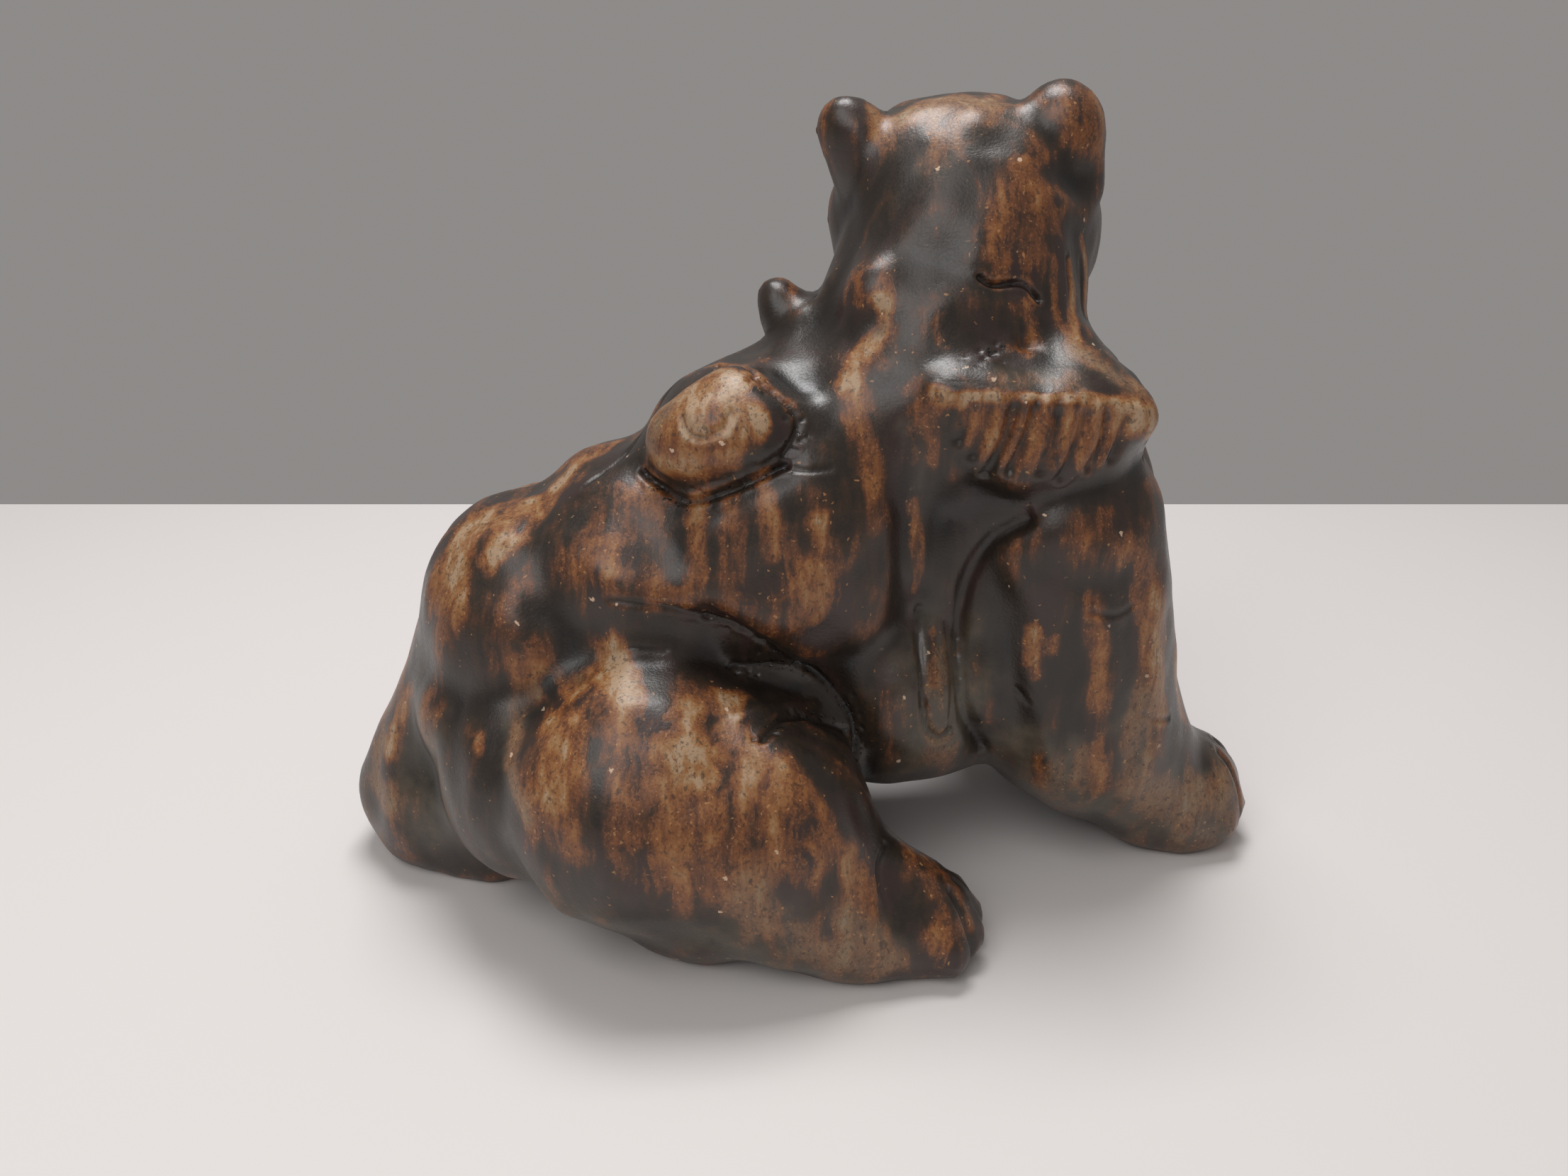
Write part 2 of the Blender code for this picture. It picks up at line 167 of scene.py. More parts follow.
FOLDS: tuple[Mark, ...] = (
    # Back and flank
    Mark(Tool.KNIFE, ((-24, -12, 54), (-17, -12, 53), (-11, -10, 51)), force=0.5),
    Mark(
        Tool.KNIFE,
        ((-11, -10, 51), (-4, -10, 48), (1, -7, 43), (6, -5, 38), (10, -7, 33), (11, -9, 27)),
        False,
        1.0,
        True,
    ),
    Mark(Tool.NEEDLE, ((-29, 1, 66), (-24, 5, 69), (-20, 10, 74), (-14, 14, 79)), False),
    Mark(Tool.THUMB, ((-40, -8, 52), (-33, -10, 50), (-26, -12, 49)), force=0.6),
    Mark(Tool.ROLL, ((-33, -5, 60), (-22, -12, 57), (-11, -11, 54), (-2, -12, 51)), force=0.5),
    Mark(Tool.THUMB, ((18, -6, 75), (18, -7, 60), (19, -6, 49)), force=0.5),
    Mark(Tool.ROLL, ((11, -3, 80), (12, -6, 70), (10, -10, 60)), force=0.6),
    # Thigh and knee
    Mark(Tool.KNIFE, ((-8, -9, 42), (-5, -8, 42), (0, -8, 42), (5, -5, 39)), False, 0.7, True),
    Mark(Tool.KNIFE, ((-3, -22, 37), (0, -16, 37), (5, -11, 35), (9, -8, 31)), False, 0.9, True),
    Mark(Tool.LIP, ((-6, -20, 40), (0, -14, 40), (5, -9, 37)), False),
    Mark(Tool.THUMB, ((3, -18, 35), (7, -17, 31), (9, -16, 27)), False),
    Mark(Tool.NEEDLE, ((-26, -12, 45), (-22, -11, 46), (-17, -12, 46)), force=0.6),
    # Boss on the back
    Mark(
        Tool.KNIFE,
        ((-20, 1, 68), (-17, -3, 67), (-13, -6, 66), (-6, -8, 69), (0, -8, 72)),
        False,
        1.7,
        True,
    ),
    Mark(Tool.NEEDLE, ((0, -8, 72), (3, -8, 71), (6, -7, 71)), False, 0.7),
    Mark(
        Tool.KNIFE,
        ((-4, -2, 83), (-2, -3, 81), (0, -4, 80), (2, -5, 78), (2, -7, 76), (0, -8, 73)),
        False,
        0.8,
        True,
    ),
    Mark(Tool.KNIFE, ((-14, -7, 79), (-13, -8, 77), (-11, -8, 76), (-8, -8, 77), (-7, -7, 79)), False, 0.9),
    Mark(Tool.NEEDLE, ((-10, 10, 82), (-7, 4, 83), (-4, -1, 83)), False, 1.2),
    Mark(Tool.ROLL, ((-12, -7, 79), (-10, -7, 79)), False, 0.9),
    Mark(Tool.LIP, ((1, -7, 77), (0, -8, 75), (-3, -9, 73)), False, 0.8),
    # Foreleg and belly
    Mark(
        Tool.LOOP,
        ((34, -5, 63), (30, -2, 59), (27, -2, 54), (26, -1, 46), (26, -4, 40), (27, -5, 32), (31, -1, 24)),
    ),
    Mark(Tool.KNIFE, ((20, -2, 48), (20, -6, 40), (21, -8, 32), (23, -7, 29), (25, -7, 30)), False),
    Mark(Tool.NEEDLE, ((25, -7, 30), (25, -5, 39), (24, -1, 46)), False, 0.8),
    Mark(Tool.NEEDLE, ((44, -7, 50), (48, -7, 49), (51, -6, 50)), force=0.6),
    Mark(Tool.THUMB, ((38, -7, 56), (43, -8, 54), (48, -7, 55)), force=0.6),
    Mark(Tool.THUMB, ((42, -7, 46), (43, -7, 38), (43, -7, 30)), force=0.5),
    Mark(Tool.THUMB, ((50, -6, 46), (51, -6, 36), (50, -6, 28)), force=0.5),
    Mark(Tool.NEEDLE, ((54, -4, 32), (57, -3, 30), (60, -1, 29)), force=0.7),
    Mark(Tool.NEEDLE, ((34, -7, 36), (36, -7, 34)), force=0.8),
    Mark(Tool.THUMB, ((62, -1, 22), (65, 0, 16), (66, 0, 10)), force=0.5),
    # Head
    Mark(Tool.PAD, ((12, 23, 112), (13, 22, 109), (13, 21, 106)), False, 0.7),
    Mark(Tool.PAD, ((34, 20, 116), (35, 18, 113), (36, 16, 110)), False),
    Mark(Tool.PAD, ((5, 18, 86), (7, 17, 88), (8, 17, 91)), False, 1.2),
    Mark(Tool.PAD, ((-2, 18, 86), (0, 17, 85), (3, 17, 85)), False),
    Mark(Tool.SLIT, ((27, 5, 95), (29, 5, 94), (33, 6, 94), (36, 6, 92)), False, 1.2),
    Mark(Tool.POINT, ((33, 3, 86), (34, 3, 86)), False, 0.8),
    Mark(Tool.THUMB, ((36, 16, 107), (40, 17, 106), (44, 19, 107)), False, 0.8),
    Mark(Tool.ROLL, ((40, 15, 104), (44, 18, 103), (46, 21, 104)), False, 0.8),
    Mark(Tool.THUMB, ((39, 12, 101), (43, 14, 100), (46, 18, 99)), False, 0.6),
    Mark(Tool.NEEDLE, ((41, 11, 97), (41, 10, 92), (41, 7, 88)), False),
    Mark(Tool.NEEDLE, ((44, 15, 96), (44, 15, 92), (44, 13, 88)), False),
    Mark(Tool.THUMB, ((24, 1, 90), (24, 3, 94), (22, 6, 98)), False, 0.5),
    # Face
    Mark(Tool.POINT, ((43, 41, 106), (43, 41.4, 106)), False),
    Mark(Tool.POINT, ((29, 49, 107), (29, 49.4, 107)), False),
    Mark(Tool.LIP, ((42, 38, 109), (42, 41, 108), (42, 45, 107)), False),
    Mark(Tool.LIP, ((25, 47, 109), (28, 48, 109), (31, 50, 108)), False),
    Mark(Tool.PRICK, ((42, 59, 101), (42, 58.6, 101)), False),
    Mark(Tool.PRICK, ((39, 60, 101), (39, 59.6, 101)), False),
    Mark(Tool.NEEDLE, ((43, 53, 103), (41, 54, 104), (40, 56, 104), (38, 57, 104), (37, 58, 103)), False),
    Mark(Tool.NEEDLE, ((41, 59, 99), (41, 59, 98), (40, 59, 96)), False),
    Mark(Tool.KNIFE, ((45, 54, 94), (43, 55, 93), (40, 58, 94), (36, 59, 95), (30, 56, 94)), False),
    Mark(Tool.DISH, ((42, 29, 117), (43, 30, 115), (43, 31, 112)), False),
    Mark(Tool.DISH, ((10, 30, 116), (10, 31, 114), (10, 31, 112)), False, 0.9),
    Mark(Tool.NEEDLE, ((17, 44, 99), (19, 43, 96), (21, 44, 93)), False),
    Mark(Tool.NEEDLE, ((15, 42, 106), (14, 43, 103), (13, 43, 99)), False),
    # Top of the ruff
    Mark(Tool.LIP, ((20, -5, 82), (27, -6, 81), (34, -6, 80), (42, -6, 80), (49, -5, 79)), force=1.2),
    Mark(Tool.NEEDLE, ((26, -2, 84), (28, 0, 85), (30, 1, 86)), force=0.2, pitted=True),
    # Foot
    Mark(Tool.NEEDLE, ((15, -21, 20), (13, -25, 18), (15, -29, 12))),
    # Locks under the ruff
    Mark(Tool.LOCK, ((25, -6, 79), (25, -5, 77), (24, -5, 75)), force=0.6),
    Mark(Tool.LOCK, ((28, -6, 80), (27, -6, 76), (26, -5, 73)), force=0.8),
    Mark(Tool.LOCK, ((31, -6, 80), (30, -6, 75), (28, -5, 70))),
    Mark(Tool.LOCK, ((34, -6, 80), (33, -7, 76), (31, -6, 71))),
    Mark(Tool.LOCK, ((37, -6, 80), (37, -7, 76), (35, -6, 71))),
    Mark(Tool.LOCK, ((41, -6, 80), (40, -6, 75), (38, -5, 70))),
    Mark(Tool.LOCK, ((44, -5, 79), (44, -5, 75), (42, -5, 71)), force=0.8),
    Mark(Tool.LOCK, ((47, -5, 78), (46, -4, 75), (45, -4, 72)), force=0.7),
)

RUNS: tuple[Run, ...] = (
    # Grey-olive veil low on the body
    Run(Tone.STONE, 8.0, ((-52, -4, 30), (-52, -2, 14)), force=0.7),
    Run(Tone.STONE, 7.0, ((-34, -24, 12), (-14, -33, 8), (8, -31, 4)), force=0.8),
    Run(Tone.STONE, 9.0, ((44, -4, 18), (58, -2, 12), (70, 3, 6)), force=0.9),
    Run(Tone.STONE, 6.0, ((22, -6, 28), (23, -4, 40))),
    Run(Tone.STONE, 5.0, ((36, -6, 26), (42, -7, 18))),
    # Hip and rump
    Run(Tone.OCHRE, 4.0, ((-48, -2, 55), (-46, 2, 59), (-42, 4, 61), (-36, 3, 62))),
    Run(Tone.TAN, 2.4, ((-42, -5, 57), (-40, -3, 59))),
    Run(Tone.TAN, 3.4, ((-45, 4, 59), (-47, -1, 56), (-48, -4, 53)), force=0.85),
    Run(Tone.OCHRE, 2.6, ((-38, 6, 62), (-40, 1, 61))),
    Run(Tone.UMBER, 3.4, ((-50, -5, 50), (-51, -6, 43), (-52, -7, 36))),
    Run(Tone.RUST, 2.2, ((-51, -3, 50), (-51, 0, 53))),
    Run(Tone.UMBER, 3.0, ((-36, -7, 56), (-29, -9, 58))),
    Run(Tone.OCHRE, 2.2, ((-58, 1, 33), (-61, 3, 27), (-63, 2, 22))),
    Run(Tone.OLIVE, 2.6, ((-65, 5, 22), (-66, 3, 16), (-63, -1, 14))),
    Run(Tone.OCHRE, 0.9, ((-43, -16, 34), (-43, -17, 33))),
    # Flank
    Run(Tone.RUST, 2.6, ((-21, -3, 66), (-21, -6, 63), (-20, -9, 60))),
    Run(Tone.UMBER, 2.2, ((-17, -4, 65), (-16, -7, 62), (-16, -9, 58))),
    Run(Tone.RUST, 2.6, ((-12, -7, 66), (-11, -10, 63), (-11, -11, 58))),
    Run(Tone.OCHRE, 1.6, ((-12, -9, 62), (-11, -11, 57))),
    Run(Tone.UMBER, 2.4, ((-7, -9, 67), (-7, -11, 63), (-6, -12, 58))),
    Run(Tone.RUST, 1.8, ((-3, -7, 71), (-2, -11, 67), (-2, -12, 61))),
    Run(Tone.POOL, 0.9, ((0, -9, 70), (1, -12, 65), (1, -13, 59))),
    Run(Tone.OCHRE, 1.4, ((5, -11, 65), (6, -12, 61))),
    Run(Tone.OCHRE, 2.6, ((5, -12, 58), (5, -12, 51))),
    Run(Tone.RUST, 1.8, ((3, -13, 58), (3, -12, 53))),
    Run(Tone.UMBER, 5.5, ((-24, -3, 65), (-24, -6, 61), (-23, -10, 57))),
    Run(Tone.RUST, 3.2, ((-19, -3, 66), (-18, -8, 61), (-17, -11, 55)), force=0.72),
    Run(Tone.RUST, 2.4, ((-13, -7, 66), (-13, -9, 60), (-13, -11, 54)), force=0.85),
    Run(Tone.RUST, 2.4, ((-8, -8, 68), (-7, -11, 62), (-7, -12, 55)), force=0.66),
    Run(Tone.POOL, 0.7, ((-15, -5, 67), (-15, -9, 61), (-15, -11, 56)), force=0.7),
    Run(Tone.POOL, 0.8, ((-10, -8, 67), (-10, -11, 61), (-10, -12, 55)), force=0.7),
    Run(Tone.RUST, 1.6, ((0, -12, 64), (1, -13, 57), (1, -13, 50)), force=0.8),
    # Boss on the back
    Run(Tone.TAN, 4.6, ((-17, -4, 77), (-12, -4, 81), (-8, -4, 82), (-5, -6, 81)), False, 0.95),
    Run(Tone.TAN, 4.2, ((-16, -8, 74), (-11, -8, 77), (-7, -8, 77), (-3, -7, 79)), False, 0.95),
    Run(Tone.UMBER, 1.8, ((-17, -6, 75), (-14, -9, 73), (-10, -9, 73)), False),
    Run(Tone.OLIVE, 1.6, ((-20, -2, 72), (-18, -4, 75), (-16, -3, 78)), False),
    Run(Tone.RUST, 0.9, ((-7, -5, 81), (-6, -7, 78), (-7, -9, 75)), False),
    Run(Tone.RUST, 2.6, ((-13, -9, 73), (-9, -9, 74), (-5, -9, 74)), False),
    Run(Tone.POOL, 1.9, ((-3, -5, 82), (0, -7, 78), (-1, -8, 75), (-4, -9, 73)), False),
    Run(Tone.RUST, 1.2, ((-14, 13, 80), (-9, 10, 82), (-4, -1, 83)), False),
    Run(Tone.TAN, 3.2, ((-34, 7, 65), (-29, 12, 69), (-24, 16, 74)), False),
    # Small knob on the far shoulder
    Run(Tone.POOL, 3.0, ((-3, 18, 89), (-1, 18, 87), (2, 17, 85)), False),
    # Run down from the neck
    Run(Tone.TAN, 1.4, ((13, 5, 92), (14, 4, 91)), False),
    Run(Tone.OCHRE, 2.3, ((14, 4, 88), (12, 3, 86), (10, 2, 84), (9, 0, 82)), False),
    Run(Tone.OCHRE, 2.0, ((9, 0, 81), (10, -3, 78)), False),
    Run(Tone.RUST, 2.0, ((10, -3, 78), (11, -4, 74), (12, -6, 69))),
    Run(Tone.OCHRE, 1.5, ((18, -4, 65), (19, -4, 62), (19, -4, 59))),
    Run(Tone.RUST, 0.9, ((19, -4, 59), (20, -5, 54), (20, -5, 50)), force=0.8),
    # Ruff
    Run(Tone.RUST, 1.7, ((17, -3, 81), (18, -5, 77), (17, -5, 71))),
    Run(Tone.UMBER, 1.5, ((20, -5, 80), (20, -5, 76), (21, -5, 72))),
    Run(Tone.TAN, 1.2, ((21, -5, 81), (24, -5, 80))),
    Run(Tone.RUST, 3.2, ((26, -6, 78), (34, -7, 77), (43, -6, 77))),
    Run(Tone.TAN, 0.9, ((22, -6, 81), (29, -6, 81), (37, -6, 81), (45, -5, 80))),
    Run(Tone.RUST, 2.4, ((27, -6, 75), (34, -7, 73), (42, -6, 73)), force=0.7),
    Run(Tone.TAN, 3.0, ((46, -5, 79), (49, -5, 78), (52, -3, 77))),
    Run(Tone.OLIVE, 2.2, ((30, -4, 83), (35, -3, 83), (39, -4, 82)), force=0.6),
    Run(Tone.OLIVE, 1.8, ((40, 2, 85), (44, -1, 83), (48, -2, 81))),
    Run(Tone.OLIVE, 1.2, ((16, -5, 77), (18, -5, 72), (19, -4, 68)), force=0.5),
    # Head
    Run(Tone.DRAB, 4.6, ((16, 22, 114), (20, 22, 116), (24, 23, 118), (29, 22, 117)), False),
    Run(Tone.DRAB, 3.2, ((21, 15, 110), (24, 17, 114), (27, 19, 116)), False, 0.85),
    Run(Tone.RUST, 1.5, ((13, 22, 112), (15, 23, 114)), False),
    Run(Tone.UMBER, 2.6, ((39, 19, 117), (41, 18, 115), (44, 18, 112)), False),
    Run(Tone.RUST, 1.2, ((45, 20, 117), (46, 20, 113), (46, 20, 109)), False),
    Run(Tone.RUST, 1.4, ((32, 12, 109), (36, 15, 109), (39, 17, 112)), False, 0.7),
    Run(Tone.UMBER, 2.8, ((29, 10, 106), (29, 7, 101), (30, 5, 96)), False),
    Run(Tone.UMBER, 2.8, ((34, 11, 107), (34, 8, 101), (34, 7, 95)), False),
    Run(Tone.UMBER, 2.2, ((38, 13, 107), (38, 11, 101)), False),
    Run(Tone.RUST, 0.9, ((38, 9, 97), (38, 8, 92), (39, 5, 88)), False),
    Run(Tone.RUST, 1.0, ((41, 12, 96), (41, 11, 91), (41, 4, 87)), False),
    Run(Tone.OCHRE, 0.9, ((44, 16, 99), (45, 17, 94), (44, 15, 88)), False),
    Run(Tone.RUST, 0.7, ((15, 15, 105), (12, 15, 101), (10, 14, 96), (7, 13, 91)), False, 0.6),
    Run(Tone.OCHRE, 2.2, ((34, 5, 91), (35, 4, 88), (34, 2, 86)), False),
    Run(Tone.OCHRE, 0.6, ((21, 2, 90), (21, 1, 88), (22, 0, 86)), False),
    Run(Tone.RUST, 4.0, ((36, 50, 101), (38, 58, 98)), False),
    Run(Tone.OCHRE, 4.0, ((28, 42, 112), (33, 47, 105)), False),
    # Thigh
    Run(Tone.RUST, 7.0, ((-24, -27, 38), (-12, -29, 36), (-4, -29, 34))),
    Run(Tone.RUST, 5.0, ((-15, -31, 34), (-15, -34, 24)), force=0.9),
    Run(Tone.RUST, 5.0, ((-9, -30, 34), (-8, -34, 23)), force=0.9),
    Run(Tone.RUST, 4.0, ((-1, -27, 35), (0, -30, 30), (1, -32, 24))),
    Run(Tone.UMBER, 4.0, ((-33, -29, 28), (-29, -32, 27), (-25, -33, 27))),
    Run(Tone.UMBER, 1.4, ((-20, -28, 38), (-21, -32, 30), (-21, -34, 22)), force=0.8),
    Run(Tone.UMBER, 1.2, ((-11, -29, 38), (-12, -33, 30), (-12, -35, 22)), force=0.8),
    Run(Tone.UMBER, 1.3, ((-3, -27, 36), (-4, -32, 28), (-4, -34, 20)), force=0.8),
    Run(Tone.OCHRE, 4.0, ((-35, -12, 42), (-31, -15, 42), (-27, -15, 44))),
    Run(Tone.OCHRE, 3.0, ((-32, -20, 40), (-30, -26, 37), (-31, -28, 33))),
    Run(Tone.OCHRE, 3.6, ((-13, -20, 42), (-12, -25, 40), (-12, -29, 36))),
    Run(Tone.OCHRE, 3.2, ((-8, -18, 41), (-7, -22, 39), (-6, -27, 36))),
    Run(Tone.TAN, 3.0, ((-25, -13, 46), (-22, -17, 44), (-20, -20, 43))),
    Run(Tone.OLIVE, 1.6, ((-38, -14, 38), (-38, -19, 34), (-37, -23, 31), (-34, -27, 28))),
    Run(Tone.POOL, 1.7, ((-19, -14, 45), (-17, -20, 43), (-17, -22, 42))),
    Run(Tone.POOL, 1.3, ((-25, -26, 39), (-25, -30, 34), (-26, -33, 28)), force=0.7),
    Run(Tone.POOL, 0.9, ((-34, -14, 42), (-32, -17, 41))),
    Run(Tone.POOL, 4.5, ((-24, -33, 21), (-20, -33, 17), (-17, -31, 12)), force=0.8),
    # Shin and foot
    Run(Tone.RUST, 3.6, ((6, -27, 30), (9, -28, 23), (11, -29, 12)), force=0.9),
    Run(Tone.OCHRE, 1.8, ((8, -29, 24), (12, -29, 14))),
    Run(Tone.OLIVE, 4.0, ((-4, -34, 19), (2, -32, 12), (8, -31, 8)), force=0.8),
    Run(Tone.POOL, 2.6, ((2, -21, 37), (6, -23, 33), (9, -26, 27))),
    Run(Tone.OLIVE, 2.6, ((8, -31, 14), (13, -29, 10), (15, -29, 6))),
    Run(Tone.POOL, 1.7, ((12, -22, 24), (15, -24, 18), (17, -27, 13), (19, -28, 7))),
    Run(Tone.RUST, 2.4, ((21, -28, 9), (25, -26, 9))),
    Run(Tone.RUST, 1.6, ((26, -23, 11), (27, -24, 8))),
    Run(Tone.UMBER, 1.6, ((18, -18, 17), (22, -19, 15), (25, -22, 12))),
    # Back, rump and chest
    Run(Tone.RUST, 3.2, ((-56, 8, 46), (-60, 9, 36), (-64, 10, 26))),
    Run(Tone.OCHRE, 2.0, ((-53, 10, 54), (-56, 11, 48))),
    Run(Tone.UMBER, 3.0, ((-40, 12, 62), (-30, 14, 66), (-20, 16, 72))),
    Run(Tone.RUST, 2.8, ((60, 5, 45), (61, 5, 37), (64, 6, 28))),
    Run(Tone.OCHRE, 1.6, ((62, 4, 36), (64, 5, 26))),
    Run(Tone.UMBER, 3.0, ((53, 6, 75), (54, 5, 66), (57, 4, 57))),
    Run(Tone.RUST, 2.6, ((52, 15, 80), (53, 15, 73), (55, 16, 66)), False),
    Run(Tone.OCHRE, 2.2, ((52, 24, 80), (53, 25, 75)), False),
    Run(Tone.RUST, 3.0, ((59, 15, 58), (60, 15, 50), (60, 15, 43)), False),
    Run(Tone.UMBER, 2.4, ((61, 27, 57), (61, 25, 45), (58, 26, 37)), False),
    Run(Tone.RUST, 2.0, ((58, 34, 57), (58, 35, 45)), False),
    # Foreleg
    Run(Tone.OCHRE, 2.4, ((51, -5, 53), (55, -3, 43), (58, -3, 31)), force=0.9),
    Run(Tone.RUST, 1.5, ((44, -8, 52), (46, -7, 43), (47, -7, 35)), force=0.8),
    Run(Tone.OLIVE, 4.2, ((58, -2, 16), (64, 1, 13), (71, 5, 13))),
    Run(Tone.OCHRE, 1.2, ((36, -6, 46), (36, -6, 43), (37, -6, 39))),
    Run(Tone.RUST, 0.9, ((39, -7, 45), (39, -7, 43))),
    Run(Tone.UMBER, 1.4, ((46, -7, 46), (47, -7, 41), (47, -7, 35))),
    Run(Tone.RUST, 3.2, ((50, -5, 58), (53, -4, 51), (56, -2, 44), (57, -2, 37))),
    Run(Tone.OCHRE, 1.6, ((54, -4, 51), (56, -2, 40))),
    Run(Tone.OLIVE, 3.4, ((53, -5, 34), (53, -5, 27), (55, -4, 20))),
    Run(Tone.RUST, 1.1, ((47, -6, 59), (48, -6, 56))),
    Run(Tone.UMBER, 1.2, ((39, -5, 24), (40, -3, 19))),
    Run(Tone.OLIVE, 1.4, ((44, -7, 28), (45, -6, 24), (45, -5, 19)), force=0.7),
    Run(Tone.UMBER, 2.4, ((49, -7, 27), (50, -5, 20))),
    Run(Tone.UMBER, 2.2, ((75, 11, 15), (77, 10, 11), (76, 6, 8))),
    # Edges of the cuts
    Run(Tone.RUST, 0.7, ((22, -3, 45), (22, -6, 42), (22, -7, 38)), force=0.8),
    Run(Tone.RUST, 0.5, ((20, -4, 44), (20, -6, 39), (21, -8, 34)), force=0.6),
    Run(Tone.RUST, 0.6, ((28, -1, 57), (27, -1, 52), (26, -1, 46), (26, -3, 41)), force=0.7),
)


def sides(stroke: Mark | Run) -> tuple[Path, ...]:
    """Give a stroke's path, and the same path over the middle line if the stroke is on both sides."""
    return (stroke.path, BENCH.across(stroke.path)) if stroke.both_sides else (stroke.path,)


class Skin:
    """The finer skin's points, with the tools that cut and measure it."""

    route_steps: tuple[float, ...] = (0.0, 0.2, 0.4, 0.6, 0.8)
    pit_spacing: float = 0.8 * MM
    pit_scatter: float = 0.9 * MM
    pit_sizes: tuple[float, float] = (0.22, 0.42)
    pit_depth: float = 1.1

    def __init__(self, mesh: bpy.types.Mesh) -> None:
        """Read a mesh's points, normals and edges.

        Args:
            mesh: The mesh to work on.
        """
        self.mesh = mesh
        count = len(mesh.vertices)
        self.points = np.empty(count * 3)
        mesh.vertices.foreach_get("co", self.points)
        self.points.shape = -1, 3
        self.normals = np.empty(count * 3)
        mesh.vertex_normals.foreach_get("vector", self.normals)
        self.normals.shape = -1, 3
        ends = np.empty(len(mesh.edges) * 2, int)
        mesh.edges.foreach_get("vertices", ends)
        self.start = np.concatenate((ends[::2], ends[1::2]))
        self.end = np.concatenate((ends[1::2], ends[::2]))
        self.valence = np.bincount(self.start, minlength=count)
        self.tree = BVHTree.FromPolygons(self.points, [tuple(face.vertices) for face in mesh.polygons])

    def route(self, path: Path) -> list[Vector]:
        """Lay a smooth run through a path on the skin.

        Args:
            path: Points in the modeller's millimetres, near the skin.

        Returns:
            Points on the skin, in metres, eased and laid on it again.
        """
        points = [BENCH.place(spot) for spot in path]
        ends = [points[0] * 2 - points[1], *points, points[-1] * 2 - points[-2]]
        run: list[Vector] = []
        for before, start, end, after in zip(ends, ends[1:], ends[2:], ends[3:]):
            for t in self.route_steps:
                spot = start * 2 + (end - before) * t + (before * 2 - start * 5 + end * 4 - after) * t * t
                run.append((spot + (start * 3 - before - end * 3 + after) * t**3) / 2)
        run.append(points[-1])
        laid = [self.tree.find_nearest(spot)[0] for spot in run]
        eased = [(before + spot * 2 + after) / 4 for before, spot, after in zip(laid, laid[1:], laid[2:])]
        return [laid[0], *(self.tree.find_nearest(spot)[0] for spot in eased), laid[-1]]

    def distance(self, route: Sequence[Vector], reach: float) -> tuple[np.ndarray, np.ndarray]:
        """Measure how far the points of the skin near a route are from it.

        Args:
            route: Points on the skin.
            reach: How far off the route to look, in metres.

        Returns:
            The indices of the points within reach of the whole route's round, and their distances in metres.
        """
        middle = sum(route, Vector()) / len(route)
        radius = max((spot - middle).length for spot in route) + reach
        near = np.flatnonzero(np.linalg.norm(self.points - np.array(middle), axis=1) < radius)
        points, nearest = self.points[near], np.full(len(near), np.inf)
        for start, end in zip(route, route[1:]):
            first, along = np.array(start), np.array(end - start)
            t = np.clip((points - first) @ along / max(along @ along, 1e-12), 0, 1)
            nearest = np.minimum(nearest, np.linalg.norm(points - first - t[:, None] * along, axis=1))
        return near, nearest

    def smoothed(self, values: np.ndarray, rounds: int) -> np.ndarray:
        """Spread values over the skin.

        Args:
            values: One row per point.
            rounds: How many times each point takes its neighbours' mean.

        Returns:
            The spread values.
        """
        values = values.reshape(len(self.points), -1)
        for _ in range(rounds):
            sums = [np.bincount(self.start, column[self.end], len(values)) for column in values.T]
            values = (values + np.stack(sums, 1) / self.valence[:, None]) / 2
        return values

    def hollow(self, rounds: int) -> np.ndarray:
        """Measure how far each point lies below the skin round it, in metres, negative on ridges."""
        return ((self.smoothed(self.points, rounds) - self.points) * self.normals).sum(1)

    def cut(self, mark: Mark) -> None:
        """Draw a tool along a mark's path, and over the middle line too if the mark says so."""
        tool = mark.tool
        for path in sides(mark):
            near, away = self.distance(self.route(path), 4 * tool.width)
            bite = tool.depth * np.exp(-((away / tool.width) ** 2))
            bite -= tool.burr * np.exp(-(((away - 2 * tool.width) / (0.8 * tool.width)) ** 2))
            self.points[near] -= self.normals[near] * (bite * mark.force)[:, None]

    def pit(self, mark: Mark, dice: random.Random) -> None:
        """Prick pin-holes beside a mark, as bubbles of the boiling glaze leave them."""
        for path in sides(mark):
            route = self.route(path)
            for start, end in zip(route, route[1:]):
                for _ in range(round((end - start).length / self.pit_spacing)):
                    aside = Vector([dice.gauss(0, self.pit_scatter) for _ in range(3)])
                    spot = self.tree.find_nearest(start.lerp(end, dice.random()) + aside)[0]
                    width = dice.uniform(*self.pit_sizes) * MM
                    away = np.linalg.norm(self.points - np.array(spot), axis=1)
                    near = np.flatnonzero(away < 3 * width)
                    bite = width * self.pit_depth * np.exp(-((away[near] / width) ** 2))
                    self.points[near] -= self.normals[near] * bite[:, None]

    def dent(self, size: Spot, depth: float, seed: float) -> None:
        """Press a gentle irregular relief over the whole skin.

        Args:
            size: The relief's length along X, Y and Z, in millimetres.
            depth: Its height in millimetres.
            seed: Where in the noise it is taken from.
        """
        self.points += self.normals * (self.unevenness(size, seed) * depth * MM)[:, None]

    def unevenness(self, size: Spot, seed: float) -> np.ndarray:
        """Sample smooth noise of about -1 to 1 at each point, of the given size in millimetres."""
        scale = np.array([1 / (length * MM) for length in size])
        aside = Vector((seed, seed, seed))
        return np.array([noise.noise(Vector(point) + aside) for point in self.points * scale])

    def finish(self) -> None:
        """Write the points back, with the soles kept flat on the table."""
        self.points[:, 2] = np.maximum(self.points[:, 2], 0)
        self.mesh.vertices.foreach_set("co", self.points.ravel())
        self.mesh.update()


